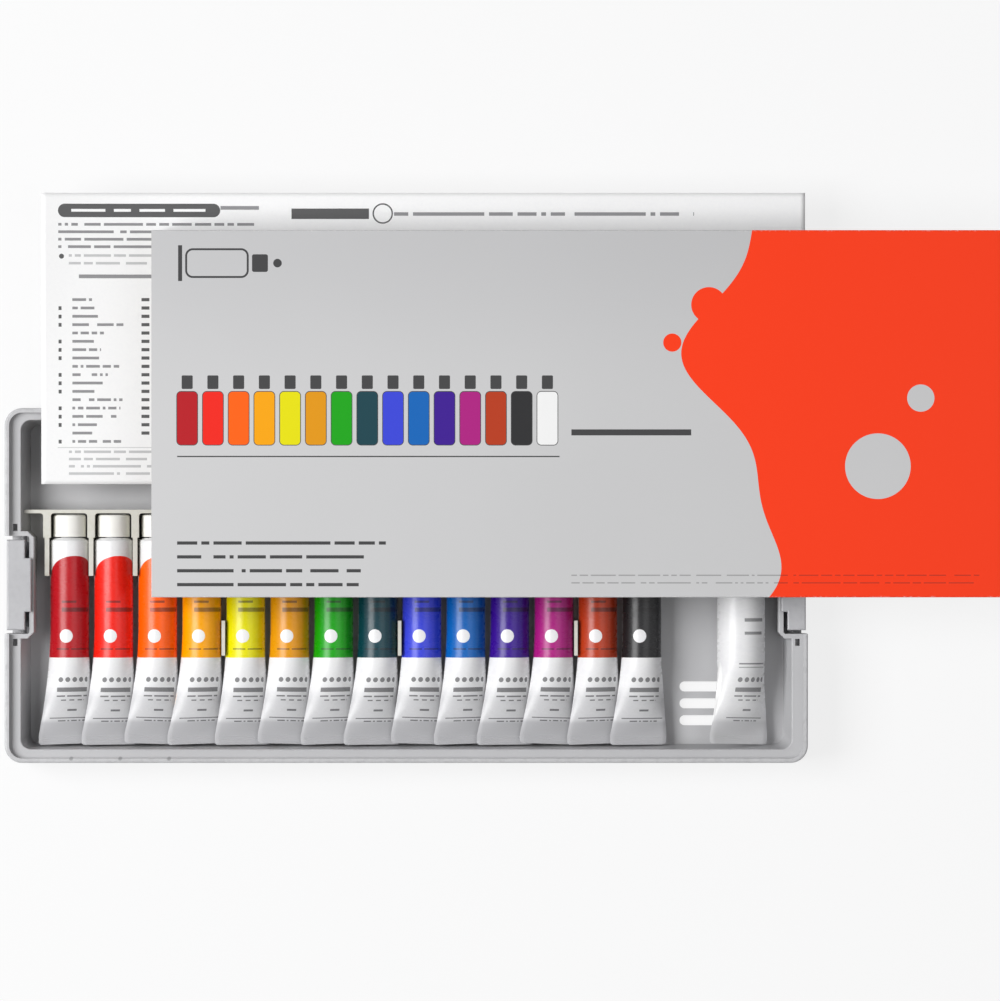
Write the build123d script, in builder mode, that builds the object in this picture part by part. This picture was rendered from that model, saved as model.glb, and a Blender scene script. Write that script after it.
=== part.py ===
from build123d import *

import os
from math import radians, tan

# A gouache paint set box, in millimetres, +Z up. The origin is at the centre of the tray's underside. The
# tray's length runs along X, and its front, where the tubes' tails lie, faces -Y.

# Tray: one moulding, a tub inside a skirt, joined by the shelf that the lid sits on
tray_length = 321.4
tray_width = 142.0
tray_height = 22.5
tray_corner = 7.0
rim_wall = 1.8
rim_round = 0.8
tray_wall = 1.8
floor_thickness = 1.8
recess_depth = 3.0
shelf_end = 4.6
shelf_rear = 3.0
shelf_front = 3.6
tub_corner = 4.0
lip_round = 0.5
end_draft = 9.0
side_draft = 5.0

# Slots through the tray's floor, under the white tube's tail
slot_count = 3
slot_pitch = 6.8
slot_length = 33.6
slot_width = 4.1
slot_left_of_tube = 7.7
slot_from_tail = 16.4

# Bays in the tray's ends, and the clasps that turn in them
bay_middle_y = 0.2
bay_depth = 9.7
bay_wall = 2.0
bay_chamfer = 2.6
bay_floor_thickness = 1.0
clasp_length = 36.2
clasp_end_gap = 1.5
clasp_inset = 0.8
clasp_thickness = 1.8
clasp_flange_thickness = 1.0
clasp_flange_width = 7.4
clasp_below_rim = 0.7
tongue_length = 21.6
tongue_reach = 2.5
clasp_edge_round = 0.7
hinge_inset = 6.8
hinge_height = 8.0
barrel_diameter = 4.4
barrel_end_gap = 2.2
trunnion_diameter = 2.4
trunnion_clearance = 0.08
trunnion_hold = 1.5
foot_depth = 2.0

# Blind sockets in the shelf beside the bays, each in a boss, and the lid's pegs
socket_size = (1.8, 2.8)
socket_depth = 4.0
socket_wall = 1.5
peg_clearance = 0.3
peg_length = 1.4

# Tubes, each lying on the floor with its cap to the rear
colour_names = (
    "carmine", "scarlet", "orange", "deep_yellow", "lemon_yellow", "yellow_ochre", "light_green",
    "viridian", "ultramarine", "sky_blue", "violet", "magenta", "burnt_sienna", "black",
)
tubes_per_group = 4
first_tube_room = 13.64
white_tube_room = 14.7
white_bay = 39.82
tube_gap = 2.18
tube_diameter = 15.5
seal_width = 23.0
tube_roll = 10.0
lean_first = 1.0
lean_step = 0.45
white_tube_diameter = 19.2
white_seal_width = 25.6
white_roll = 24.0
white_lean = 1.2

tail_gap = 0.63
tube_length = 92.4
taper_start = 55.5
seal_length = 3.8
seal_thickness = 0.9
tube_wall = 0.35
side_arc = 5.0
shoulder_height = 1.2
shoulder_wall = 1.0
neck_diameter = 7.0
nozzle_diameter = 3.4
paint_gap = 0.1
paint_side_gap = 0.3
paint_end_gap = 4.0
lying_gap = 0.05

# Screw caps
cap_diameter = 13.0
white_cap_diameter = 15.4
cap_length = 8.9
cap_seat_gap = 0.4
cap_top = 1.4
cap_shell = 1.1
cap_clearance = 0.08
cap_sleeve_wall = 1.0
cap_edge = 0.5
flute_count = 28
flute_diameter = 0.7
neck_end_gap = 0.5

# Rack: the comb that keeps the caps apart, with posts between the groups of tubes
rack_height = 13.2
bar_thickness = 1.4
bar_gap = 0.6
rack_end_gap = 0.25
finger_gap = 0.84
finger_tip_width = 1.8
finger_length = 25.1
finger_step = 9.8
finger_fillet = 1.3
white_finger_gap = 0.35
post_width = 1.4
post_length = 14.0
post_start = 42.5
spine_height = 1.4

# Card sleeve, leaflet and lid
leaflet_length = 305.4
leaflet_width = 116.4
leaflet_thickness = 0.3
leaflet_right = 6.8
leaflet_past_rim = 86.0
stack_gap = 0.05
sleeve_length = 337.2
sleeve_right = 67.9
sleeve_past_rim = 70.2
sleeve_side_room = 1.2
card = 0.6
fold_round = 0.5
glue_flap = 16.0
lid_edge_gap = 0.4
lid_edge_thickness = 1.2
lid_dome_height = 3.9
lid_wall = 1.5
lid_dome_gap = 0.6
lid_dome_corner = 5.0
lid_panel_margin = 9.0
lid_panel_depth = 0.4
lid_height_room = 0.6

# Levels and places worked out from the sizes above
shelf_z = tray_height - recess_depth
tub_length = tray_length - 2 * (rim_wall + shelf_end)
tub_width = tray_width - 2 * rim_wall - shelf_front - shelf_rear
tub_middle_y = (shelf_front - shelf_rear) / 2
end_x = tray_length / 2
bay_back_x = end_x - bay_depth
bay_inner_x = bay_back_x - bay_wall
bay_half = clasp_length / 2 + clasp_end_gap
hinge_x = end_x - hinge_inset
clasp_top_z = tray_height - clasp_below_rim
tongue_tip_x = end_x - clasp_inset - clasp_flange_width - tongue_reach
body_start = cap_length + cap_seat_gap
leaflet_z = tray_height + stack_gap
sleeve_z = leaflet_z + leaflet_thickness + stack_gap
lid_closed_height = shelf_z + lid_edge_thickness + lid_dome_height
sleeve_height = lid_closed_height + lid_height_room + 2 * card
sleeve_width = tray_width + 2 * (sleeve_side_room + card)
rack_top = floor_thickness + rack_height
leaflet_middle = (leaflet_right, tray_width / 2 + leaflet_past_rim - leaflet_width / 2)
sleeve_middle = (sleeve_right, tray_width / 2 + sleeve_past_rim - sleeve_width / 2)

os.makedirs("parts", exist_ok=True)


def save(piece, name):
    piece.label = name
    export_step(piece, f"parts/{name}.step")


def tub_half_length(level):
    return tub_length / 2 - (shelf_z - level) * tan(radians(end_draft))


def tub_half_width(level):
    return tub_width / 2 - (shelf_z - level) * tan(radians(side_draft))


# The tubes' places: their tails end at the tub's front wall, and the white one lies in a bay at the right
tube_axis_z = floor_thickness + lying_gap + tube_diameter / 2
tail_y = tub_middle_y - tub_half_width(tube_axis_z) + tail_gap
cap_end_y = tail_y + tube_length
tube_pitch = tube_diameter + tube_gap
first_tube_x = first_tube_room - bay_inner_x
white_tube_x = bay_inner_x - white_tube_room
tube_count = 1 + round((white_tube_x - white_bay - first_tube_x) / tube_pitch)
row_colours = colour_names[:tube_count]


def tub_block(grow, low):
    """The tub's drafted inside from `low` up to the shelf, larger all round by `grow`."""
    with BuildPart() as block:
        for level in (low, shelf_z):
            length = 2 * (tub_half_length(level) + grow)
            width = 2 * (tub_half_width(level) + grow)
            with BuildSketch(Plane.XY.offset(level)):
                with Locations((0, tub_middle_y)):
                    RectangleRounded(length, width, tub_corner + grow)
        loft()
    return block.part


def bay_outline(side, back_x, half, corner, mouth_x):
    """Plan of a bay in the end at `side`, with its two back corners cut off."""
    with BuildSketch() as outline:
        with BuildLine():
            Polyline(
                (side * mouth_x, bay_middle_y - half),
                (side * (back_x + corner), bay_middle_y - half),
                (side * back_x, bay_middle_y - half + corner),
                (side * back_x, bay_middle_y + half - corner),
                (side * (back_x + corner), bay_middle_y + half),
                (side * mouth_x, bay_middle_y + half),
                close=True,
            )
        make_face()
    return outline.sketch


# Tray
tub_outside = tub_block(tray_wall, 0)
tub_inside = tub_block(0, floor_thickness)
bay_walls = [
    bay_outline(side, bay_inner_x, bay_half + bay_wall, bay_chamfer, end_x - rim_wall / 2)
    for side in (-1, 1)
]
bay_spaces = [
    bay_outline(side, bay_back_x, bay_half, bay_chamfer - bay_wall, end_x + rim_wall) for side in (-1, 1)
]
with BuildPart() as tray:
    with BuildSketch():
        RectangleRounded(tray_length, tray_width, tray_corner)
    extrude(amount=tray_height)
    fillet(tray.edges().group_by(Axis.Z)[-1], rim_round)
    with BuildSketch(Plane.XY.offset(shelf_z)):
        RectangleRounded(tray_length - 2 * rim_wall, tray_width - 2 * rim_wall, tray_corner - rim_wall)
    extrude(amount=recess_depth, mode=Mode.SUBTRACT)
    with BuildSketch():
        RectangleRounded(tray_length - 2 * rim_wall, tray_width - 2 * rim_wall, tray_corner - rim_wall)
    extrude(amount=shelf_z - tray_wall, mode=Mode.SUBTRACT)
    add(tub_outside)
    add(tub_inside, mode=Mode.SUBTRACT)
    for outline in bay_walls:
        extrude(outline, amount=shelf_z)
    for outline in bay_spaces:
        extrude(outline, amount=tray_height, mode=Mode.SUBTRACT)
    for side in (-1, 1):
        extrude(bay_outline(side, bay_inner_x, bay_half, bay_chamfer, end_x - rim_wall), amount=bay_floor_thickness)
    with Locations((-hinge_x, bay_middle_y, hinge_height), (hinge_x, bay_middle_y, hinge_height)):
        Cylinder(
            trunnion_diameter / 2 + trunnion_clearance,
            2 * (bay_half + bay_wall),
            rotation=(90, 0, 0),
            mode=Mode.SUBTRACT,
        )
    with BuildSketch():
        with Locations((white_tube_x - slot_left_of_tube, tail_y + slot_from_tail)):
            with GridLocations(0, slot_pitch, 1, slot_count):
                SlotOverall(slot_length, slot_width)
    extrude(amount=floor_thickness, mode=Mode.SUBTRACT)
    socket_x = end_x - rim_wall - shelf_end / 2
    socket_y = bay_half + bay_wall + socket_size[1] / 2
    boss_size = [side + 2 * socket_wall for side in socket_size]
    for size, depth, mode in (
        (boss_size, socket_depth + socket_wall, Mode.ADD),
        (socket_size, socket_depth, Mode.SUBTRACT),
    ):
        with BuildSketch(Plane.XY.offset(shelf_z)):
            with Locations((0, bay_middle_y)):
                with GridLocations(2 * socket_x, 2 * socket_y, 2, 2):
                    Rectangle(*size)
        extrude(amount=-depth, mode=mode)
    shelf = tray.faces().filter_by(Axis.Z).filter_by_position(Axis.Z, shelf_z, shelf_z).sort_by(SortBy.AREA)[-1]
    tub_mouth = shelf.inner_wires().sort_by(SortBy.LENGTH)[-1]
    fillet(tub_mouth.edges(), lip_round)
save(tray.part, "tray")


# Clasps
def make_clasp(side):
    """The clasp in the end at `side`: barrel and foot at the hinge, plate, flange with its tongue."""
    plate_x = end_x - clasp_inset - clasp_thickness / 2
    foot_z = hinge_height - foot_depth
    with BuildPart() as clasp:
        with BuildSketch(Plane.XY.offset(foot_z)):
            with Locations((side * plate_x, bay_middle_y)):
                Rectangle(clasp_thickness, clasp_length)
        extrude(amount=clasp_top_z - foot_z)
        with BuildSketch(Plane.XY.offset(clasp_top_z)):
            with Locations((side * (end_x - clasp_inset - clasp_flange_width / 2), bay_middle_y)):
                Rectangle(clasp_flange_width, clasp_length)
            with Locations((side * (tongue_tip_x + tongue_reach / 2), bay_middle_y)):
                Rectangle(tongue_reach, tongue_length)
        extrude(amount=-clasp_flange_thickness)
        fillet(clasp.faces().sort_by(Axis.Z)[-1].edges(), clasp_edge_round)
        foot_length = plate_x - hinge_x
        with BuildSketch(Plane.XY.offset(foot_z)):
            with Locations((side * (hinge_x + foot_length / 2), bay_middle_y)):
                Rectangle(foot_length, clasp_length - barrel_end_gap)
        extrude(amount=foot_depth)
        with Locations((side * hinge_x, bay_middle_y, hinge_height)):
            Cylinder(barrel_diameter / 2, clasp_length - barrel_end_gap, rotation=(90, 0, 0))
            Cylinder(trunnion_diameter / 2, 2 * (bay_half + trunnion_hold), rotation=(90, 0, 0))
    return clasp.part


save(make_clasp(-1), "clasp_left")
save(make_clasp(1), "clasp_right")


# Tubes: each is drawn along its own +Z from the cap's end, then laid down at its place
def round_section(level, radius):
    """A circle kept as four arcs, one for each edge of the flat section that it lofts onto."""
    middle = (0, 0, level)
    arcs = [
        CenterArc(middle, radius, side_arc, 180 - 2 * side_arc),
        CenterArc(middle, radius, 180 - side_arc, 2 * side_arc),
        CenterArc(middle, radius, 180 + side_arc, 180 - 2 * side_arc),
        CenterArc(middle, radius, -side_arc, 2 * side_arc),
    ]
    return Face(Wire(arcs))


def flat_section(level, width, thickness, lean):
    """The flattened end of a tube, a thin bar with round edges that stands `lean` to the left."""
    edge = thickness / 2
    right = width / 2 - edge - lean
    left = edge - width / 2 - lean
    edges = [
        Line((right, edge, level), (left, edge, level)),
        CenterArc((left, 0, level), edge, 90, 180),
        Line((left, -edge, level), (right, -edge, level)),
        CenterArc((right, 0, level), edge, -90, 180),
    ]
    return Face(Wire(edges))


def tapered_body(start, radius, end, width, thickness, lean):
    """A tube's round part from `start`, and its taper to a flat end."""
    circle = round_section(taper_start, radius)
    flat = flat_section(end, width, thickness, lean)
    with BuildPart() as body:
        extrude(circle, amount=start - taper_start)
        loft([circle, flat], ruled=True)
    return body.part


def make_tube(diameter, cap_width, flat_width, lean):
    """The empty tube: neck, shoulder, round part, taper and heat seal."""
    seal_start = tube_length - seal_length
    shoulder_end = body_start + shoulder_height
    outside = tapered_body(shoulder_end, diameter / 2, seal_start, flat_width, seal_thickness, lean)
    cavity = tapered_body(
        shoulder_end + shoulder_wall,
        diameter / 2 - tube_wall,
        seal_start,
        flat_width - 2 * tube_wall,
        seal_thickness - 2 * tube_wall,
        lean,
    )
    seal = flat_section(seal_start, flat_width, seal_thickness, lean)
    with BuildPart() as tube:
        add(outside)
        extrude(seal, amount=seal_length)
        with BuildSketch(Plane.XY.offset(body_start)) as shoulder_top:
            Circle(cap_width / 2 - cap_edge)
        with BuildSketch(Plane.XY.offset(shoulder_end)) as shoulder_foot:
            Circle(diameter / 2)
        loft([shoulder_top.sketch, shoulder_foot.sketch])
        neck_tip = cap_top + neck_end_gap
        with BuildSketch(Plane.XY.offset(neck_tip)):
            Circle(neck_diameter / 2)
        extrude(amount=body_start - neck_tip)
        with BuildSketch(Plane.XY.offset(neck_tip)):
            Circle(nozzle_diameter / 2)
        extrude(amount=shoulder_end + shoulder_wall - neck_tip, mode=Mode.SUBTRACT)
        add(cavity, mode=Mode.SUBTRACT)
    return tube.part


def make_paint(diameter, flat_width, lean):
    """The paint that fills a tube, up to a little way from its seal."""
    end = tube_length - seal_length - paint_end_gap
    along = (end - taper_start) / (tube_length - seal_length - taper_start)
    inner_radius = diameter / 2 - tube_wall
    width_there = 2 * (1 - along) * inner_radius + along * (flat_width - 2 * tube_wall)
    return tapered_body(
        body_start + shoulder_height + shoulder_wall + paint_gap,
        inner_radius - paint_gap,
        end,
        width_there - 2 * paint_side_gap,
        seal_thickness - 2 * tube_wall,
        along * lean,
    )


def make_cap(width):
    """A fluted screw cap with its closed end at the bottom."""
    with BuildPart() as cap:
        with BuildSketch():
            Circle(width / 2)
            with PolarLocations(width / 2, flute_count):
                Circle(flute_diameter / 2, mode=Mode.SUBTRACT)
        extrude(amount=cap_length)
        with BuildSketch(Plane.XY.offset(cap_top)):
            Circle(width / 2 - cap_shell)
            Circle(neck_diameter / 2 + cap_clearance + cap_sleeve_wall, mode=Mode.SUBTRACT)
            Circle(neck_diameter / 2 + cap_clearance)
        extrude(amount=cap_length - cap_top, mode=Mode.SUBTRACT)
    return cap.part


def lying_place(x, diameter, roll):
    """Where a tube lies: on the floor, cap to the rear, its left edge raised by `roll` degrees."""
    axis_z = floor_thickness + diameter / 2 + lying_gap
    upright = Plane((x, cap_end_y, axis_z), x_dir=(1, 0, 0), z_dir=(0, -1, 0))
    return Location(upright) * Location((0, 0, 0), (0, 0, -roll))


def save_tube(colour, x, diameter, cap_width, flat_width, roll, lean):
    place = lying_place(x, diameter, roll)
    save(place * make_tube(diameter, cap_width, flat_width, lean), f"tube_{colour}")
    save(place * make_cap(cap_width), f"cap_{colour}")
    save(place * make_paint(diameter, flat_width, lean), f"paint_{colour}")


for index, colour in enumerate(row_colours):
    lean = lean_first + lean_step * (index % tubes_per_group)
    x = first_tube_x + index * tube_pitch
    save_tube(colour, x, tube_diameter, cap_diameter, seal_width, tube_roll, lean)
save_tube(
    "white", white_tube_x, white_tube_diameter, white_cap_diameter, white_seal_width, white_roll, white_lean
)

# Rack
bar_front_y = cap_end_y + bar_gap
white_finger_reach = white_tube_diameter / 2 + white_finger_gap + finger_tip_width / 2
finger_width = tube_pitch - cap_diameter - 2 * finger_gap
finger_xs = [first_tube_x + (index - 0.5) * tube_pitch for index in range(len(row_colours) + 1)]
post_xs = finger_xs[tubes_per_group::tubes_per_group]
finger_xs += [white_tube_x - white_finger_reach, white_tube_x + white_finger_reach]
bar_foot = 2 * (tub_half_length(floor_thickness) - rack_end_gap)
bar_head = 2 * (tub_half_length(rack_top) - rack_end_gap)
finger_end_y = bar_front_y - finger_length
post_start_y = cap_end_y - post_start
with BuildPart() as rack:
    with BuildSketch(Plane.XZ.offset(-bar_front_y)):
        with BuildLine():
            Polyline(
                (-bar_foot / 2, floor_thickness),
                (bar_foot / 2, floor_thickness),
                (bar_head / 2, rack_top),
                (-bar_head / 2, rack_top),
                close=True,
            )
        make_face()
    extrude(amount=-bar_thickness)
    with BuildSketch(Plane.XY.offset(floor_thickness)) as comb:
        with Locations((0, bar_front_y + bar_thickness / 2)):
            Rectangle(bar_foot, bar_thickness)
        with Locations([(x, bar_front_y - finger_step / 2) for x in finger_xs]):
            Rectangle(finger_width, finger_step)
        with Locations([(x, bar_front_y - finger_length / 2) for x in finger_xs]):
            Rectangle(finger_tip_width, finger_length)
        bar_corners = comb.vertices().group_by(Axis.Y)[-2]
        fillet(bar_corners, finger_fillet)
    extrude(amount=rack_height)
    with BuildSketch(Plane.XY.offset(floor_thickness)):
        with Locations([(x, post_start_y - post_length / 2) for x in post_xs]):
            Rectangle(post_width, post_length)
    extrude(amount=rack_height)
    with BuildSketch(Plane.XY.offset(floor_thickness)):
        with Locations([(x, (finger_end_y + post_start_y) / 2) for x in post_xs]):
            Rectangle(post_width, finger_end_y - post_start_y)
    extrude(amount=spine_height)
    for side in (-1, 1):
        around_bay = bay_outline(
            side, bay_inner_x - rack_end_gap, bay_half + bay_wall + rack_end_gap, bay_chamfer, end_x
        )
        extrude(around_bay, amount=rack_top, mode=Mode.SUBTRACT)
save(rack.part, "tube_rack")

# Leaflet, on the tray's rear rim
with BuildPart() as leaflet:
    with BuildSketch(Plane.XY.offset(leaflet_z)):
        with Locations(leaflet_middle):
            Rectangle(leaflet_length, leaflet_width)
    extrude(amount=leaflet_thickness)
save(leaflet.part, "leaflet")

# Sleeve: a card tube open at both ends, its joint glued on a flap inside the rear wall
with BuildPart() as sleeve:
    end_plane = Plane.YZ.offset(sleeve_middle[0])
    with BuildSketch(end_plane):
        with Locations((sleeve_middle[1], sleeve_z + sleeve_height / 2)):
            RectangleRounded(sleeve_width, sleeve_height, fold_round)
            Rectangle(sleeve_width - 2 * card, sleeve_height - 2 * card, mode=Mode.SUBTRACT)
            with Locations((sleeve_width / 2 - card - card / 2, -sleeve_height / 2 + card + glue_flap / 2)):
                Rectangle(card, glue_flap)
    extrude(amount=sleeve_length / 2, both=True)
save(sleeve.part, "sleeve")

# Lid: a flat edge that sits on the tray's shelf and a low drafted dome; here it lies in the sleeve
lid_z = sleeve_z + card + stack_gap + peg_length
lid_place = Plane((*sleeve_middle, lid_z))
lid_length = tray_length - 2 * (rim_wall + lid_edge_gap)
lid_width = tray_width - 2 * (rim_wall + lid_edge_gap)
dome_length = 2 * (tongue_tip_x - lid_dome_gap)
dome_width = tub_width - 2 * lid_dome_gap
dome_slope = lid_dome_height * tan(radians(end_draft))


def lid_dome(shrink, low, high):
    """The dome between two levels above the lid's underside, smaller all round by `shrink`."""
    with BuildPart() as dome:
        for level in (low, high):
            narrowing = shrink + dome_slope * (level - low) / (high - low)
            with BuildSketch(lid_place.offset(level)):
                with Locations((0, tub_middle_y)):
                    RectangleRounded(
                        dome_length - 2 * narrowing, dome_width - 2 * narrowing, lid_dome_corner - shrink
                    )
        loft()
    return dome.part


dome_outside = lid_dome(0, lid_edge_thickness, lid_edge_thickness + lid_dome_height)
dome_inside = lid_dome(lid_wall, 0, lid_edge_thickness + lid_dome_height - lid_wall)
with BuildPart() as lid:
    with BuildSketch(lid_place):
        RectangleRounded(lid_length, lid_width, tray_corner - rim_wall - lid_edge_gap)
    extrude(amount=lid_edge_thickness)
    add(dome_outside)
    with BuildSketch(lid_place.offset(lid_edge_thickness + lid_dome_height - lid_panel_depth)):
        with Locations((0, tub_middle_y)):
            RectangleRounded(
                dome_length - 2 * lid_panel_margin, dome_width - 2 * lid_panel_margin, lid_dome_corner
            )
    extrude(amount=lid_panel_depth, mode=Mode.SUBTRACT)
    add(dome_inside, mode=Mode.SUBTRACT)
    with BuildSketch(lid_place):
        with Locations((0, bay_middle_y)):
            with GridLocations(2 * socket_x, 2 * socket_y, 2, 2):
                Rectangle(socket_size[0] - 2 * peg_clearance, socket_size[1] - 2 * peg_clearance)
    extrude(amount=-peg_length)
save(lid.part, "lid")
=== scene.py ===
from math import atan2, cos, pi, radians, sin

import bmesh
import bpy
from mathutils import Matrix, Vector, noise


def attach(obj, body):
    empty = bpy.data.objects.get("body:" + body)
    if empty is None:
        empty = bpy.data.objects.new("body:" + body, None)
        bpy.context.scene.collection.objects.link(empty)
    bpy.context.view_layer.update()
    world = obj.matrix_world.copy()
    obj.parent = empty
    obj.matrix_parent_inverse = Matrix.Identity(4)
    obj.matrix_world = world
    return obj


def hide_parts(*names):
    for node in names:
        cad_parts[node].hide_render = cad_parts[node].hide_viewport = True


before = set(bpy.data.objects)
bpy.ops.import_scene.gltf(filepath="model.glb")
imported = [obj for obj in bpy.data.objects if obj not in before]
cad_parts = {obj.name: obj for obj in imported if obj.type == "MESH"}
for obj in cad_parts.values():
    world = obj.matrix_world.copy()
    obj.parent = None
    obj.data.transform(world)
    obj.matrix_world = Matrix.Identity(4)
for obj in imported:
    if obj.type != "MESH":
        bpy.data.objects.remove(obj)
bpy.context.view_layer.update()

# Tray. One injection moulding in pale grey polystyrene: a tub inside a skirt, joined by the shelf that
# the lid sits on. The tool's face is spark-eroded, so the skin is satin, hands have polished the rolled
# rim, and three nicks are left in front, shown only as painted shade: dark spots on the rim. Three slots go
# through its floor.
rim_z = 0.0225
tray_grey = "#b7b7b9"
rim_nick_shade_spots = ((-0.1341, -0.0693), (-0.1145, -0.0693), (-0.0949, -0.0693))


class Ink:
    """A value or colour among a material's nodes. Arithmetic on it adds Math nodes."""

    def __init__(self, tree, socket=None):
        self.tree = tree
        self.socket = socket

    def node(self, kind, settings=None, inputs=None, output=0):
        """Adds any node: its settings first, then values or links for its sockets."""
        made = self.tree.nodes.new(kind)
        for name, value in (settings or {}).items():
            if name == "stops":
                ramp = made.color_ramp
                ramp.interpolation = "CONSTANT"
                while len(ramp.elements) < len(value):
                    ramp.elements.new(1.0)
                for element, (place, colour) in zip(ramp.elements, value):
                    element.position = place
                    element.color = colour
            else:
                setattr(made, name, value)
        for name, value in (inputs or {}).items():
            if isinstance(value, Ink):
                self.tree.links.new(value.socket, made.inputs[name])
            else:
                made.inputs[name].default_value = value
        return Ink(self.tree, made.outputs[output] if made.outputs else None)

    def split(self):
        """The three numbers of this vector."""
        parts = self.node("ShaderNodeSeparateXYZ", None, {0: self}).socket.node
        return [Ink(self.tree, socket) for socket in parts.outputs]

    def math(self, operation, *values):
        return self.node("ShaderNodeMath", {"operation": operation}, dict(enumerate(values)))

    def __add__(self, other):
        return self.math("ADD", self, other)

    def __sub__(self, other):
        return self.math("SUBTRACT", self, other)

    def __rsub__(self, other):
        return self.math("SUBTRACT", other, self)

    def __mul__(self, other):
        return self.math("MULTIPLY", self, other)

    def __truediv__(self, other):
        return self.math("DIVIDE", self, other)

    def __mod__(self, other):
        return self.math("FLOORED_MODULO", self, other)

    def __abs__(self):
        return self.math("ABSOLUTE", self)

    def __lt__(self, other):
        return self.math("LESS_THAN", self, other)

    def __gt__(self, other):
        return self.math("GREATER_THAN", self, other)

    def __or__(self, other):
        """Both masks together."""
        return self.math("MAXIMUM", self, other)

    def floor(self):
        return self.math("FLOOR", self)

    def sine(self):
        return self.math("SINE", self)

    def at_least(self, other):
        return self.math("MAXIMUM", self, other)

    def at_most(self, other):
        return self.math("MINIMUM", self, other)

    def length(self, other):
        """The length of the flat vector made of this number and another."""
        return self.math("SQRT", self * self + other * other)

    def between(self, low, high):
        """1 from low to high, and 0 elsewhere."""
        return self.math("COMPARE", self, (low + high) / 2, (high - low) / 2)

    def rise(self, low, high):
        """A smooth step, from 0 below low to 1 above high."""
        values = {"Value": self, "From Min": low, "From Max": high}
        return self.node("ShaderNodeMapRange", {"interpolation_type": "SMOOTHSTEP"}, values)

    def speckle(self, scale, detail=2.0, roughness=0.5):
        """Noise at this place, with `scale` spots to a metre."""
        values = {"Vector": self, "Scale": scale, "Detail": detail, "Roughness": roughness}
        return self.node("ShaderNodeTexNoise", None, values)

    def stretched(self, across, along, up):
        """This place with its three directions scaled."""
        return self.node("ShaderNodeMapping", None, {"Vector": self, "Scale": (across, along, up)})

    def colour(self, code):
        """One colour, to start laying others over."""
        made = self.node("ShaderNodeRGB")
        made.socket.default_value = tint(code)
        return made

    def under(self, code, mask):
        """This colour with another laid over it, as much as the mask says."""
        top = code if isinstance(code, Ink) else tint(code)
        return self.node("ShaderNodeMix", {"data_type": "RGBA"}, {0: mask, 6: self, 7: top}, 2)

    def relief(self, distance):
        """The surface's direction over bumps of this height."""
        return self.node("ShaderNodeBump", None, {"Height": self, "Distance": distance})

    def close(self, roughness, normal, **constants):
        """Ends the material with its shader, this colour on it. A word's _ stands for a space."""
        values = {"Base Color": self, "Roughness": roughness, "Normal": normal}
        values.update({name.replace("_", " "): value for name, value in constants.items()})
        shader = self.node("ShaderNodeBsdfPrincipled", None, values)
        self.node("ShaderNodeOutputMaterial", None, {"Surface": shader})


def tint(code):
    """A web colour code as linear red, green, blue and alpha."""
    shares = [int(code[i:i + 2], 16) / 255 for i in (1, 3, 5)]
    return [s / 12.92 if s <= 0.04045 else ((s + 0.055) / 1.055) ** 2.4 for s in shares] + [1.0]


def new_material(name, coordinate):
    """An empty material, and its coordinates: "Object", in metres, or "UV"."""
    material = bpy.data.materials.new(name)
    material.use_nodes = True
    material.node_tree.nodes.clear()
    return material, Ink(material.node_tree).node("ShaderNodeTexCoord", output=coordinate)


def moulded(name, code, worn_above, gloss=0.42, nick_shade_spots=()):
    """Satin moulded plastic: an eroded skin, faint clouds and scuffs, polished by hands at its top."""
    material, place = new_material(name, "Object")
    across, along, height = place.split()
    cloud = place.speckle(32.0, 4.0)
    skin = place.speckle(2400.0, 3.0, 0.6)
    scuffs = place.stretched(210.0, 1700.0, 900.0).speckle(1.0, 5.0, 0.7).rise(0.6, 0.72)
    worn = height.rise(worn_above - 0.0012, worn_above) * place.speckle(420.0, 3.0).rise(0.3, 0.6)
    colour = place.colour(code).under("#ffffff", (cloud - 0.5) * 0.14 + 0.03)
    colour = colour.under("#f2f2f4", worn * 0.16 + scuffs * 0.06)
    # Painted shade: dark spots where small nicks in the rim would hold shade; the nicks are not modelled.
    for x, y in nick_shade_spots:
        painted_nick_shade = 1 - (across - x).length(along - y).rise(0.0004, 0.0011)
        colour = colour.under("#5c5c5e", painted_nick_shade * 0.55)
    roughness = (cloud - 0.5) * 0.18 + (skin - 0.5) * 0.12 + gloss - worn * 0.12 - scuffs * 0.06
    colour.close(roughness, skin.relief(0.00002), Specular_IOR_Level=0.45)
    return material


def dress(node, material):
    """Gives a node of the frame its finish."""
    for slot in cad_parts[node].material_slots:
        slot.material = material


dress("tray", moulded("tray_plastic", tray_grey, rim_z, 0.42, rim_nick_shade_spots))

# Clasps. Two stiff flaps in the same polystyrene, a little darker. Each turns on trunnions snapped into
# the walls of its bay, and its tongue reaches over the lid's edge.
clasp_grey = "#b2b2b5"

for side in ("clasp_left", "clasp_right"):
    dress(side, moulded(side + "_plastic", clasp_grey, rim_z, 0.36))

# Rack. A thin comb in ivory polystyrene, pressed into the tub so that each cap stands between two
# fingers. Its posts keep the groups of tubes apart.
rack_ivory = "#cbc9bd"
rack_top = 0.015

dress("tube_rack", moulded("rack_plastic", rack_ivory, rack_top, 0.46))

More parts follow.
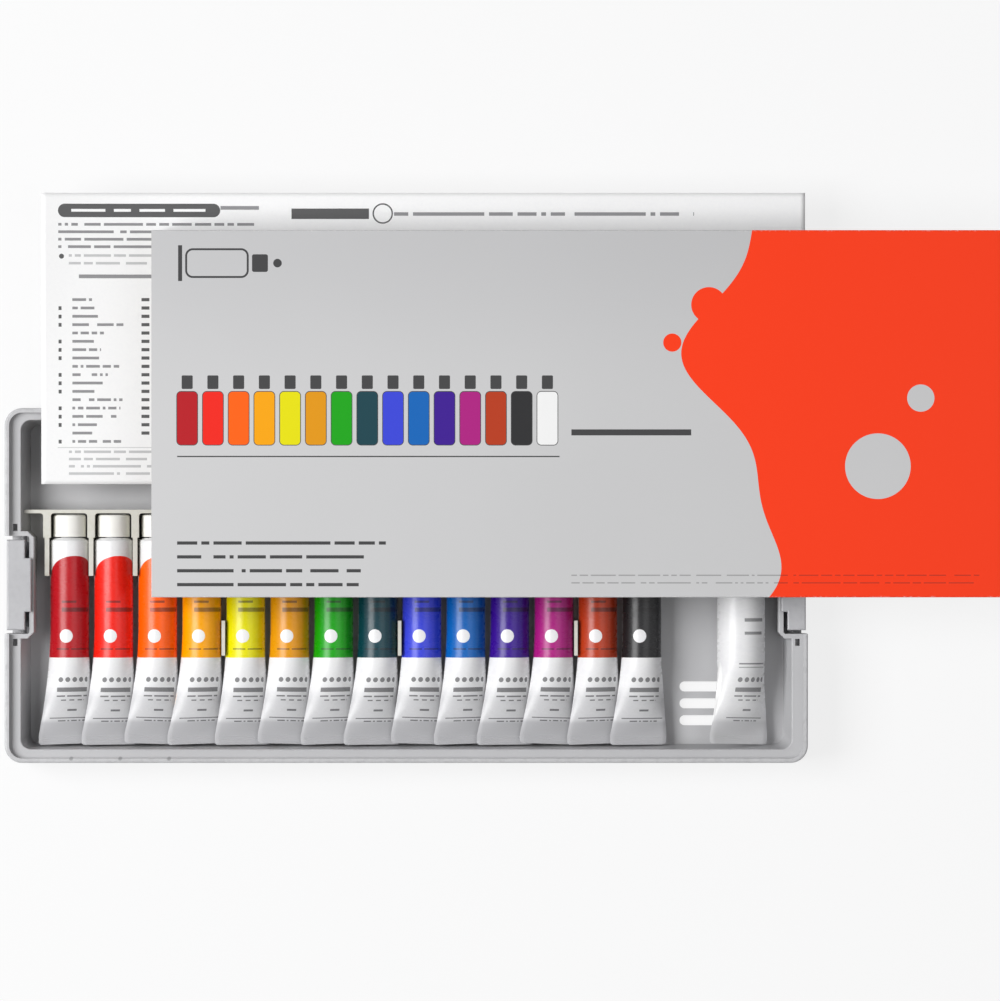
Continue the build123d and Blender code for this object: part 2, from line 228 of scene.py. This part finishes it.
# Tubes. A printed white laminate is rolled and welded into a sleeve, joined to a moulded shoulder and
# neck, filled from behind, and the tail is pinched flat and heat-sealed between ribbed jaws. Each lies
# on the tub's floor, a little rolled, so that its tail laps over the next one's.
tube_length = 0.0924
cap_end_y = 0.0283
tub_floor = 0.0018
taper_start = 0.0555
seal_start = 0.0886
body_start = 0.0093
shoulder_end = 0.0105
neck_radius = 0.0035
nozzle_radius = 0.0017
tube_diameter = 0.0155
row_cap_width = 0.0130
row_seal_width = 0.0230
row_roll = 10.0
row_bend_start = 0.045
first_tube_x = -0.13536
tube_pitch = 0.01768
least_lean = 0.001
lean_step = 0.00045
tubes_per_group = 4
seal_skew = 0.0009
white_tube_x = 0.1343
white_diameter = 0.0192
white_cap_width = 0.0154
white_seal_width = 0.0256
white_roll = 24.0
white_lean = 0.0012
white_bend_start = 0.06
seal_strip = 0.00045
seal_rib_pitch = 0.00076
tail_dent = 0.00036
print_turn = radians(9.0)
laminate_white = "#eeeeef"
ink_grey = "#4a4a4d"
paint_colours = {
    "carmine": "#b3141f",
    "scarlet": "#ee2417",
    "orange": "#ff6206",
    "deep_yellow": "#f6a500",
    "lemon_yellow": "#e6df00",
    "yellow_ochre": "#e0960c",
    "light_green": "#12a00c",
    "viridian": "#0b3c46",
    "ultramarine": "#3a46d6",
    "sky_blue": "#0a64b6",
    "violet": "#3a108e",
    "magenta": "#ad1c80",
    "burnt_sienna": "#b63a17",
    "black": "#222224",
    "white": "#f6f6f6",
}


def rule(across, along, left, right, low, high):
    """A printed bar."""
    return across.between(left, right) * along.between(low, high)


def dashes(across, along, left, right, low, high, cell):
    """A printed bar broken at random into dashes, whole numbers of `cell` long."""
    column = ((across - left) / cell).floor()
    where = across.node("ShaderNodeCombineXYZ", None, {0: column, 1: low})
    kept = across.node("ShaderNodeTexWhiteNoise", None, {"Vector": where}) > 0.22
    return rule(across, along, left, right, low, high) * kept


def laminate(colour_name, diameter):
    """Glossy white laminate with its print: a colour field with an arched top, a dot and rules."""
    material, wrap = new_material("laminate_" + colour_name, "UV")
    sideways, lengthways, _ = wrap.split()
    across = (sideways - 0.5) * (pi * diameter * 1000)
    along = lengthways * (tube_length * 1000)
    grey_field = rule(across, along, -6.5, 6.5, 59.4, 60.0) | rule(across, along, -6.5, 6.5, 61.0, 61.3)
    drops = ((across + 6.8) % 2.9 - 1.45).length(along - 66.2) < 1.0
    marks = drops * (abs(across) < 7.0) | rule(across, along, -6.8, 6.8, 69.4, 71.2)
    marks = marks | rule(across, along, -1.9, 2.1, 78.2, 79.0) | rule(across, along, -9.4, 9.2, 81.6, 82.0)
    marks = marks | dashes(across, along, -6.8, 6.8, 72.6, 73.2, 0.9)
    marks = marks | dashes(across, along, -4.8, 5.2, 74.3, 74.8, 0.7)
    marks = marks | dashes(across, along, -5.6, 6.4, 82.7, 83.2, 0.8)
    dust = wrap.stretched(9.0, 30.0, 1.0).speckle(1.0, 5.0)
    colour = wrap.colour(laminate_white).under("#e6e6e9", dust.rise(0.4, 0.7) * 0.5)
    # Partly painted shade: the tail greys along its taper, where it turns away from the light; the last ramp,
    # at the seal, is the sealed band's own duller grey.
    painted_shade_from, seal_and_shade_grey = (76.0, "#c6c6c8") if colour_name == "white" else (67.5, "#b1b1b4")
    seal_grey_and_painted_shade = along.rise(painted_shade_from, painted_shade_from + 8.0) * 0.55 + along.rise(81.8, 84.2) * 0.4
    colour = colour.under(seal_and_shade_grey, seal_grey_and_painted_shade)
    if colour_name == "white":
        marks = marks | grey_field | dashes(across, along, -4.4, 5.2, 46.8, 48.0, 1.4)
        marks = marks | rule(across, along, -4.4, 4.6, 41.4, 42.8)
        strength = 0.72
    else:
        arch = across.length((along - 30.5).at_most(0.0)) < 14.0
        spot = (across + 3.6).length(along - 48.6) > 2.7
        field = arch * spot * (along < 57.3)
        colour = colour.under(paint_colours[colour_name], field)
        named = rule(across, along, -5.4, 7.8, 37.2, 38.9) | dashes(across, along, -5.4, 0.6, 34.4, 35.3, 1.0)
        named = named | dashes(across, along, -7.8, 8.6, 53.5, 54.1, 0.9)
        colour = colour.under("#171416", named * 0.66)
        strength = 0.8
    colour = colour.under(ink_grey, marks * strength)
    orange_peel = wrap.stretched(60.0, 160.0, 1.0).speckle(1.0, 3.0)
    roughness = dust * 0.16 + 0.2 + along.rise(81.6, 84.0) * 0.2
    colour.close(roughness, orange_peel.relief(0.00004), Specular_IOR_Level=0.31)
    return material


def next_ring(shell, edges, lift, widening):
    """Draws a shell's open end on by one ring, and gives the new open end."""
    grown = bmesh.ops.extrude_edge_only(shell, edges=edges)["geom"]
    verts = [part for part in grown if isinstance(part, bmesh.types.BMVert)]
    bmesh.ops.scale(shell, vec=(widening, widening, 1.0), verts=verts)
    bmesh.ops.translate(shell, vec=(0.0, 0.0, lift), verts=verts)
    return [part for part in grown if isinstance(part, bmesh.types.BMEdge)]


def turned_shell(segments, stations):
    """A closed shell round +Z through these (distance, radius) stations."""
    shell = bmesh.new()
    bmesh.ops.create_circle(shell, cap_ends=False, radius=stations[0][1], segments=segments)
    bmesh.ops.translate(shell, vec=(0.0, 0.0, stations[0][0]), verts=shell.verts)
    edges = shell.edges[:]
    for (level, radius), (next_level, next_radius) in zip(stations, stations[1:]):
        edges = next_ring(shell, edges, next_level - level, next_radius / radius)
    bmesh.ops.holes_fill(shell, edges=shell.edges, sides=segments)
    bmesh.ops.recalc_face_normals(shell, faces=shell.faces)
    return shell


def print_map(shell, turn):
    """Wraps the print round a shell that is still round, with its middle on +Y, turned a little."""
    layer = shell.loops.layers.uv.new("print")
    for face in shell.faces:
        middle = face.calc_center_median()
        facing = atan2(middle.x, middle.y)
        for loop in face.loops:
            point = loop.vert.co
            step = (atan2(point.x, point.y) - facing + pi) % (2 * pi) - pi
            loop[layer].uv = (0.5 + (facing + step - turn) / (2 * pi), point.z / tube_length)


def pinch_tail(shell, seal_width, lean, skew, bend_start):
    """Flattens the tail as the sealing jaws do, from round to a thin ribbed strip, a little askew."""
    ease = 0.3
    for vert in shell.verts:
        bow = (vert.co.z - bend_start) / (seal_start - bend_start)
        past = (vert.co.z - taper_start) / (seal_start - taper_start)
        if max(bow, past) <= 0:
            continue
        bow = min(max(bow, 0.0), 1.0) ** 1.8
        past = min(max(past, 0.0), 1.0)
        flat = past * past / (2 * ease) if past < ease else past - ease / 2
        flat /= 1 - ease / 2
        turn = atan2(vert.co.y, vert.co.x)
        corner = max(0.0, (vert.co.z - tube_length + 0.0012) / 0.0012)
        half = seal_width / 2 - 0.0008 * corner * corner
        rib = 1.0 + 0.12 * cos((vert.co.z - seal_start) * 2 * pi / seal_rib_pitch) * (vert.co.z > seal_start)
        thick = seal_strip * rib * max(-1.0, min(1.0, 6 * sin(turn)))
        wide = half * (1 - 2 * abs(turn) / pi)
        spot = Vector((vert.co.x * 130, vert.co.y * 90 + seal_width * 7e3 * lean, vert.co.z * 75))
        dent = noise.noise(spot) * tail_dent * flat * (1 - flat) * 4 * max(0.0, sin(turn))
        drawn = past + (bow - past) * (0.5 - wide / half / 2)
        vert.co.x = vert.co.x * (1 - drawn) + (wide - lean) * drawn
        vert.co.z -= (abs(skew) + skew * wide / half) / 2 * past
        vert.co.y = vert.co.y * (1 - flat) + thick * flat - dent


def finished(shell, name, place, material, bend):
    """Turns a shell into an object at the origin, with its place in its mesh."""
    mesh = bpy.data.meshes.new(name)
    shell.to_mesh(mesh)
    shell.free()
    mesh.transform(place)
    mesh.materials.append(material)
    mesh.shade_smooth()
    mesh.set_sharp_from_angle(angle=radians(bend))
    piece = bpy.data.objects.new(name, mesh)
    bpy.context.scene.collection.objects.link(piece)
    return piece


def lying(x, diameter, roll):
    """From a tube's own axes to its place in the tub."""
    middle = Matrix.Translation((x, cap_end_y, tub_floor + 0.00005 + diameter / 2))
    return middle @ Matrix.Rotation(pi / 2, 4, "X") @ Matrix.Rotation(-radians(roll), 4, "Z")


def make_tube(colour_name, x, diameter, cap_width, seal_width, roll, lean, skew, bend_start):
    radius = diameter / 2
    top = cap_width / 2 - 0.0005
    stations = [(0.0019, nozzle_radius), (0.0019, neck_radius), (body_start, neck_radius)]
    stations += [(body_start, top - 0.0003), (body_start + 0.0002, top)]
    stations += [(shoulder_end - 0.0002, radius - 0.0002), (shoulder_end, radius - 0.00004)]
    stations += [(shoulder_end + 0.0004, radius)]
    stations += [(0.0130 + 0.0085 * i, radius) for i in range(5)]
    stations += [(taper_start + (seal_start - taper_start) * i / 18, radius) for i in range(19)]
    stations += [(seal_start + (tube_length - seal_start) * i / 20, radius) for i in range(1, 21)]
    shell = turned_shell(48, stations)
    print_map(shell, print_turn)
    pinch_tail(shell, seal_width, lean, skew, bend_start)
    name = "tube_" + colour_name + "_laminate"
    piece = finished(shell, name, lying(x, diameter, roll), laminate(colour_name, diameter), 40.0)
    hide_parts("tube_" + colour_name)
    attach(piece, "base")


def paste(colour_name, code):
    """The paint itself: wet, dense and faintly streaked."""
    material, place = new_material("paste_" + colour_name, "Object")
    streaks = place.stretched(300.0, 60.0, 300.0).speckle(1.0, 4.0)
    colour = place.colour(code).under("#ffffff", streaks.rise(0.5, 0.9) * 0.12)
    colour.close(streaks * 0.2 + 0.18, streaks.relief(0.0001), Coat_Weight=0.3)
    return material


tube_places = {}
for index, (colour_name, code) in enumerate(paint_colours.items()):
    skew = seal_skew * sin(2.1 * index + 0.9)
    if colour_name == "white":
        place = (white_tube_x, white_diameter, white_cap_width, white_seal_width)
        place += (white_roll, white_lean, skew, white_bend_start)
    else:
        lean = least_lean + lean_step * (index % tubes_per_group)
        place = (first_tube_x + tube_pitch * index, tube_diameter, row_cap_width, row_seal_width)
        place += (row_roll, lean, skew, row_bend_start)
    tube_places[colour_name] = place
    make_tube(colour_name, *place)
    dress("paint_" + colour_name, paste(colour_name, code))

# Caps. White polypropylene screw caps, moulded with fine flutes for the fingers, a rounded edge and a
# shallow dish with the gate's dimple at the closed end. Each is screwed onto its tube's neck.
cap_length = 0.0089
cap_white = "#f6f5f0"
flute_count = 44
flute_depth = 0.00012
cap_shell = 0.0011
cap_edge = 0.0010


def cap_plastic():
    """Slightly waxy white plastic, a little soiled in faint clouds."""
    material, place = new_material("cap_plastic", "Object")
    cloud = place.speckle(70.0, 4.0)
    skin = place.speckle(3200.0, 3.0)
    colour = place.colour(cap_white).under("#e6e3da", cloud.rise(0.45, 0.75) * 0.35)
    colour.close(cloud * 0.2 + 0.42, skin.relief(0.00001), Specular_IOR_Level=0.3)
    return material


def make_cap(colour_name, material, x, diameter, width, roll):
    radius = width / 2
    inside = radius - cap_shell
    stations = [(0.0014, inside), (cap_length, inside), (cap_length, radius - 0.0002)]
    stations += [(cap_length - 0.0002 - step, radius) for step in (0.0, 0.0007, 0.0009)]
    stations += [(0.0012, radius), (cap_edge, radius)]
    turns = [pi * i / 8 for i in range(1, 5)]
    stations += [(cap_edge * (1 - sin(turn)), radius - cap_edge * (1 - cos(turn))) for turn in turns]
    stations += [(0.0, radius - 0.0021), (0.0002, radius - 0.0024), (0.0002, 0.0012), (0.0005, 0.0008)]
    shell = turned_shell(2 * flute_count, stations)
    for vert in shell.verts:
        reach = vert.co.xy.length
        beat = round(atan2(vert.co.y, vert.co.x) * flute_count / pi)
        if beat % 2 and reach > radius - 0.0001 and 0.0011 < vert.co.z < cap_length - 0.0010:
            vert.co.xy *= (radius - flute_depth) / radius
    piece = finished(shell, "screw_cap_" + colour_name, lying(x, diameter, roll), material, 50.0)
    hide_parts("cap_" + colour_name)
    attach(piece, "cap_" + colour_name)


white_plastic = cap_plastic()
for colour_name, (x, diameter, cap_width, _, roll, *_) in tube_places.items():
    make_cap(colour_name, white_plastic, x, diameter, cap_width, roll)

# Leaflet. One sheet of smooth printing paper, with a list of the colours on the left and a mixing
# chart. It lies on the rear rim under the sleeve, and its free corner has begun to curl.
leaf_length = 0.3054
leaf_width = 0.1164
leaf_left = -0.1459
leaf_rear = 0.15698
leaf_level = 0.0227
leaf_thickness = 0.0002
list_pitch = 3.335
disc_radius = 5.2
sleeve_left = -0.1007
sleeve_rear = 0.1412
leaf_white = "#f4f4f4"
leaf_ink = "#202022"


def dash_lines(across, down, left, right, top, pitch, count, height, cell, ragged):
    """A column of lines of such dashes, with uneven ends."""
    line = ((down - top) / pitch).floor()
    column = ((across - left) / cell).floor()
    where = across.node("ShaderNodeCombineXYZ", None, {0: column, 1: line, 2: left})
    kept = (across.node("ShaderNodeTexWhiteNoise", None, {"Vector": where}) > 0.2) | (column < 0.5)
    end = across.node("ShaderNodeTexWhiteNoise", {"noise_dimensions": "1D"}, {"W": line + 0.5}) * ragged
    inside = down.between(top, top + count * pitch) * ((down - top) % pitch < height)
    return inside * kept * (across > left) * (across + end < right)


def ring(across, down, x, y, radius, line):
    """A printed ring."""
    return (across - x).length(down - y).between(radius - line, radius)


def printed_paper():
    """White paper with grey print, and a chart whose discs go from each colour towards white."""
    material, place = new_material("printed_paper", "Object")
    x, y, _ = place.split()
    across = (x - leaf_left) * 1000
    down = (leaf_rear - y) * 1000
    header = (abs(across - 39.1) - 29.7).at_least(0.0).length(down - 7.0) < 2.7
    dark = header * (1 - dashes(across, down, 12.0, 65.6, 6.4, 7.5, 3.4))
    dark = dark | rule(across, down, 100.0, 131.0, 6.2, 10.4)
    dark = dark | ring(across, down, 136.5, 8.2, 4.1, 0.6)
    dark = dark | rule(across, down, 40.0, 43.2, 42.0, 98.0) * ((down - 42.0) % list_pitch < 1.3)
    spaced = ((down - 42.0) % list_pitch < 1.5) * (((down - 42.0) / list_pitch).floor() % 4.0 > 0.5)
    dark = dark | rule(across, down, 6.9, 8.1, 42.0, 101.0) * spaced
    dark = dark | ((across - 8.1).length(down - 25.3) < 1.0)
    plain = dash_lines(across, down, 6.8, 88.0, 12.0, 2.98, 4, 1.1, 1.3, 3.0)
    plain = plain | dash_lines(across, down, 71.6, 87.0, 5.2, 9.0, 1, 1.5, 2.1, 0.0)
    plain = plain | dash_lines(across, down, 12.4, 34.0, 42.1, list_pitch, 18, 1.1, 1.1, 14.0)
    plain = plain | dash_lines(across, down, 15.0, 60.0, 32.6, 9.0, 1, 1.5, 2.1, 1.0)
    plain = plain | dash_lines(across, down, 141.0, 262.0, 7.7, 9.0, 1, 1.4, 1.9, 1.0)
    plain = plain | dash_lines(across, down, 110.0, 290.0, 104.0, 3.0, 3, 1.0, 1.5, 30.0)
    pale = dash_lines(across, down, 11.0, 60.0, 24.5, 3.1, 2, 1.0, 1.2, 4.0)
    pale = pale | dash_lines(across, down, 11.0, 60.0, 103.0, 2.9, 4, 1.0, 1.2, 6.0)
    pale = pale | rule(across, down, 6.5, 96.0, 101.7, 101.95) | rule(across, down, 100.0, 299.0, 16.6, 16.85)
    chart = rule(across, down, 102.0, 298.0, 20.0, 100.0)
    column = ((across - 102.0) / 14.0).floor()
    row = ((down - 20.0) / 13.33).floor()
    cell_across = (across - 102.0) % 14.0 - 7.0
    cell_down = (down - 20.0) % 13.33 - 6.66
    disc = chart * (cell_across.length(cell_down) < disc_radius)
    names = [name for name in paint_colours if name != "white"]
    stops = [(index / len(names), tint(paint_colours[name])) for index, name in enumerate(names)]
    chart_colour = across.node("ShaderNodeValToRGB", {"stops": stops}, {"Fac": (column + 0.5) / len(names)})
    chart_colour = chart_colour.under("#ffffff", row * 0.155)
    outline = chart * cell_across.length(cell_down).between(disc_radius, 5.4)
    fibre = place.speckle(900.0, 5.0, 0.65)
    shade = place.speckle(14.0, 2.0)
    colour = place.colour(leaf_white).under("#ececee", fibre.rise(0.35, 0.8) * 0.35 + shade * 0.15)
    colour = colour.under(chart_colour, disc).under("#8d8d90", (pale | outline) * 0.6)
    colour = colour.under("#6b6b6e", plain * 0.85).under(leaf_ink, dark * 0.92)
    colour.close(fibre * 0.2 + 0.42, fibre.relief(0.00002), Specular_IOR_Level=0.35)
    return material


def make_leaflet():
    sheet = bmesh.new()
    bmesh.ops.create_grid(sheet, x_segments=152, y_segments=58, size=0.5)
    bmesh.ops.scale(sheet, vec=(leaf_length, leaf_width, 1.0), verts=sheet.verts)
    middle = (leaf_left + leaf_length / 2, leaf_rear - leaf_width / 2, leaf_level)
    bmesh.ops.translate(sheet, vec=middle, verts=sheet.verts)
    for vert in sheet.verts:
        out_left = max(0.0, (sleeve_left - 0.002 - vert.co.x) / 0.044)
        out_rear = max(0.0, (vert.co.y - sleeve_rear - 0.002) / 0.014)
        past_rim = max(0.0, min(1.0, (vert.co.y - 0.075) / 0.06))
        ripple = 1 + 0.5 * noise.noise(Vector((vert.co.x * 9, vert.co.y * 12, 3.0)))
        vert.co.z += ripple * (0.0022 * out_left ** 2 * (0.25 + past_rim) + 0.0005 * out_rear ** 2)
    piece = finished(sheet, "leaflet_paper", Matrix(), printed_paper(), 60.0)
    thicken = piece.modifiers.new("thickness", "SOLIDIFY")
    thicken.thickness = leaf_thickness
    thicken.offset = 0.0
    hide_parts("leaflet")
    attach(piece, "leaflet")


make_leaflet()

# Lid. Smooth grey polystyrene with a low dome, a recessed panel and four pegs for the sockets in
# the shelf. Off the tray, it is kept in the sleeve.
lid_top = 0.03005
lid_grey = "#cfcfd1"

dress("lid", moulded("lid_plastic", lid_grey, lid_top + 0.0007, 0.3))

# Sleeve. Coated card, printed in grey and vermilion, creased at four folds and glued into a tube along a
# flap inside the rear wall. The cut ends and the inside show the bare board.
sleeve_length = 0.3372
sleeve_width = 0.1456
sleeve_middle = (0.0679, 0.0684)
sleeve_low = 0.0229
sleeve_top = 0.0493
sleeve_grey = "#cccccd"
sleeve_red = "#ff3c0e"
board_brown = "#b9b2a6"
swatch_left = 9.5
swatch_pitch = 10.2


def rounded_box(across, up, left, right, low, high, corner):
    """How far outside a rounded rectangle a point is, in millimetres."""
    beside = (abs(across - (left + right) / 2) - ((right - left) / 2 - corner)).at_least(0.0)
    above = (abs(up - (low + high) / 2) - ((high - low) / 2 - corner)).at_least(0.0)
    return beside.length(above) - corner


def printed_card():
    """Grey coated card with a poured shape in vermilion, fifteen swatches, discs and rules."""
    material, place = new_material("printed_card", "Object")
    x, y, z = place.split()
    across = (x - (sleeve_middle[0] - sleeve_length / 2)) * 1000
    up = (y - (sleeve_middle[1] - sleeve_width / 2)) * 1000
    bank = (up * 0.043 + 0.5).sine() * 17.0 + (up * 0.102 + 1.2).sine() * 5.0 + 232.0
    holes = ((across - 288.0).length(up - 52.0) < 13.0) | ((across - 305.0).length(up - 79.0) < 5.4)
    drops = ((across - 221.0).length(up - 116.0) < 7.0) | ((across - 206.5).length(up - 101.0) < 3.6)
    red = (across > bank) * (1 - holes) | drops
    names = list(paint_colours)
    swatch = ((across - swatch_left) / swatch_pitch).floor()
    in_row = (across > swatch_left) * (across < swatch_left + swatch_pitch * len(names))
    within = (across - swatch_left) % swatch_pitch
    from_swatch = rounded_box(within, up, 0.7, 8.7, 60.5, 81.5, 1.6)
    stops = [(index / len(names), tint(paint_colours[name])) for index, name in enumerate(names)]
    swatch_colour = across.node("ShaderNodeValToRGB", {"stops": stops}, {"Fac": (swatch + 0.5) / len(names)})
    cap_mark = rounded_box(within, up, 2.5, 6.9, 82.6, 88.0, 0.5) < 0.0
    black = in_row * (from_swatch.between(0.0, 0.3) | cap_mark)
    black = black | dash_lines(across, up, 10.2, 94.0, 4.4, 5.5, 4, 1.3, 1.6, 12.0)
    black = black | rule(across, up, 10.2, 161.8, 55.6, 56.1) | rule(across, up, 166.5, 214.0, 64.2, 66.6)
    tube_mark = abs(rounded_box(across, up, 13.4, 38.6, 126.6, 138.4, 3.0) + 0.4) < 0.4
    tube_mark = tube_mark | (rounded_box(across, up, 39.9, 46.2, 129.0, 136.0, 0.8) < 0.0)
    tube_mark = tube_mark | rule(across, up, 10.6, 12.2, 125.4, 139.6)
    black = black | tube_mark | ((across - 50.0).length(up - 132.5) < 1.7)
    top_face = z > sleeve_top - 0.0004
    notes = dashes(across, up, 166.5, 330.0, 8.5, 9.0, 1.1) | dashes(across, up, 166.5, 326.0, 5.5, 6.0, 1.1)
    print_black = (black * (1 - red) | notes * 0.45) * top_face
    inside = abs(y - sleeve_middle[1]) < sleeve_width / 2 - 0.0003
    inside = inside * z.between(sleeve_low + 0.0003, sleeve_top - 0.0003)
    bare = inside | (abs(x - sleeve_middle[0]) > sleeve_length / 2 - 0.00001)
    fold = (abs(y - sleeve_middle[1]) > sleeve_width / 2 - 0.0005) * abs(z - (sleeve_low + sleeve_top) / 2)
    fold = fold > (sleeve_top - sleeve_low) / 2 - 0.0005
    fibre = place.stretched(700.0, 2200.0, 1500.0).speckle(1.0, 4.0, 0.6)
    cloud = place.speckle(9.0, 3.0)
    rub = place.speckle(900.0, 4.0, 0.6).rise(0.5, 0.75)
    colour = place.colour(sleeve_grey).under("#ffffff", (cloud - 0.4) * 0.12)
    # Painted shade: the grey card darkens towards its rear edge, where the light falls off.
    colour = colour.under("#a9a9ac", up.rise(70.0, 150.0) * 0.3)
    colour = colour.under(swatch_colour, in_row * top_face * (from_swatch < 0.0))
    colour = colour.under(sleeve_red, red * (z > sleeve_top - 0.0007)).under("#1f1f21", print_black * 0.94)
    colour = colour.under("#f1efec", fold * rub * 0.4).under(board_brown, bare)
    colour = colour.under("#8f887c", bare * fibre.rise(0.4, 0.8) * 0.4)
    roughness = (cloud - 0.5) * 0.12 + (fibre - 0.5) * 0.08 + 0.36 + bare * 0.4 + fold * rub * 0.2
    colour.close(roughness, fibre.relief(0.000012), Specular_IOR_Level=0.24)
    return material


dress("sleeve", printed_card())

# Studio. A pale table and a white surround, a broad soft light above and to the left, a weaker one to
# the right, and the camera straight above, as for a catalogue.
table_low = -0.0003
table_span = 6.0
table_whiteness = 0.8
key_power = 36.5
fill_power = 5.5
surround_light = 0.14
full_white = (1.0, 1.0, 1.0, 1.0)
camera_place = (0.0375, 0.034, 3.0)
frame_across = 0.4
picture_size = (1000, 1001)


def pale_table():
    """A pale table whose own shade shows only partly, so that it stays white round the object."""
    material, place = new_material("pale_table", "Object")
    cloud = place.speckle(3.0, 3.0)
    colour = place.colour("#e9e9ea").under("#dfdfe0", cloud * 0.3)
    shader = place.node("ShaderNodeBsdfDiffuse", None, {"Color": colour})
    white = place.node("ShaderNodeEmission", None, {"Color": full_white, "Strength": 1.0})
    seen = seen_directly(place)
    surface = place.node("ShaderNodeMixShader", None, {0: seen * table_whiteness, 1: shader, 2: white})
    place.node("ShaderNodeOutputMaterial", None, {"Surface": surface})
    return material


def seen_directly(ink):
    """1 for what the camera sees, straight or in gloss or glass."""
    rays = ink.node("ShaderNodeLightPath").socket.node.outputs
    camera, glossy, through = [Ink(ink.tree, rays[n]) for n in (
        "Is Camera Ray", "Is Glossy Ray", "Is Transmission Ray")]
    return camera | glossy | through


def make_table():
    table = bmesh.new()
    bmesh.ops.create_grid(table, x_segments=2, y_segments=2, size=table_span / 2)
    bmesh.ops.translate(table, vec=(0.0, 0.0, table_low), verts=table.verts)
    finished(table, "table", Matrix(), pale_table(), 30.0)


def hang_light(name, place, size, power):
    lamp = bpy.data.lights.new(name, "AREA")
    lamp.shape = "RECTANGLE"
    lamp.size, lamp.size_y = size
    lamp.energy = power
    light = bpy.data.objects.new(name, lamp)
    light.location = place
    light.rotation_euler = (-Vector(place)).to_track_quat("-Z", "Y").to_euler()
    bpy.context.scene.collection.objects.link(light)


make_table()
hang_light("key", (-1.2, 0.1, 1.45), (1.1, 1.1), key_power)
hang_light("fill", (0.9, -0.1, 1.8), (1.2, 1.2), fill_power)

world = bpy.data.worlds.new("surround")
bpy.context.scene.world = world
world.use_nodes = True
world.node_tree.nodes.clear()
sky = Ink(world.node_tree)
plain_light = sky.node("ShaderNodeBackground", None, {"Color": full_white, "Strength": surround_light})
white_view = sky.node("ShaderNodeBackground", None, {"Color": full_white, "Strength": 1.0})
surround = sky.node("ShaderNodeMixShader", None, {0: seen_directly(sky), 1: plain_light, 2: white_view})
sky.node("ShaderNodeOutputWorld", None, {"Surface": surround})

camera = bpy.data.objects.new("camera", bpy.data.cameras.new("camera"))
camera.location = camera_place
rim_distance = camera_place[2] - rim_z
camera.data.lens = camera.data.sensor_width * rim_distance / frame_across * picture_size[0] / picture_size[1]
camera.data.clip_end = 20.0
bpy.context.scene.collection.objects.link(camera)
bpy.context.scene.camera = camera
bpy.context.scene.view_settings.view_transform = "Standard"
